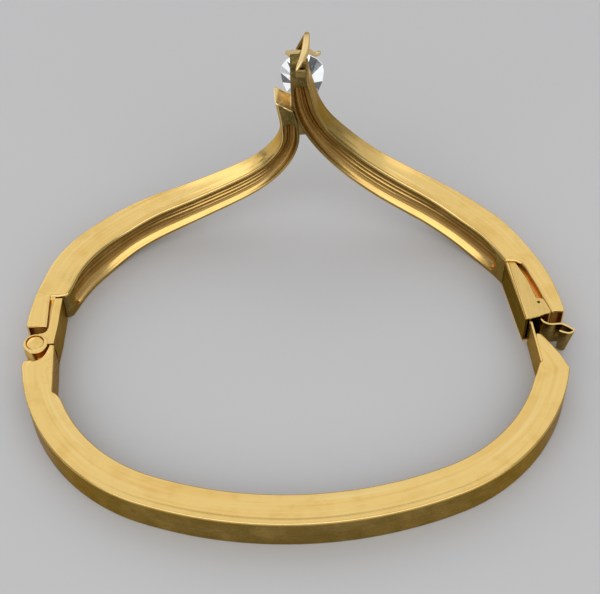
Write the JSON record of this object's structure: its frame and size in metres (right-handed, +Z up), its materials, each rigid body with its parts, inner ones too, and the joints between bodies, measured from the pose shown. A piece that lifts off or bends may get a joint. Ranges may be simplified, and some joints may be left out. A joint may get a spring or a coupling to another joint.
{
  "type": "hinged bangle",
  "caption": "Oval gold bangle that opens at a side hinge and shuts with a tongue and box clasp; grooved arms sweep up to a peak that holds a clear pear cut stone.",
  "frame": {"origin": "middle of the oval, on the plane that the bangle lies on", "axes": "+Z up, along the wearer's arm; +X to the clasp and -X to the hinge; +Y to the peak with the stone"},
  "size_m": [0.0629, 0.0529, 0.0264],
  "materials": {
    "gold": "polished yellow gold",
    "stone": "clear faceted stone, slightly blue"
  },
  "bodies": {
    "top": {"top_half": "gold", "hinge_pin": "gold", "stone": "stone"},
    "back": {"back_half": "gold"},
    "catch": {"catch_leaf": "gold"}
  },
  "joints": [
    {"name": "main_hinge", "type": "hinge", "parent": "top", "child": "back", "pos_m": [-0.02965, 0, 0.0021], "axis": [0, 0, -1], "range_deg": [0, 70]},
    {"name": "catch_press", "type": "hinge", "parent": "back", "child": "catch", "pos_m": [0.02689, 0.0062, 0.0021], "axis": [0, 0, -1], "range_deg": [0, 6], "stiffness_Nm_per_rad": 0.005}
  ]
}
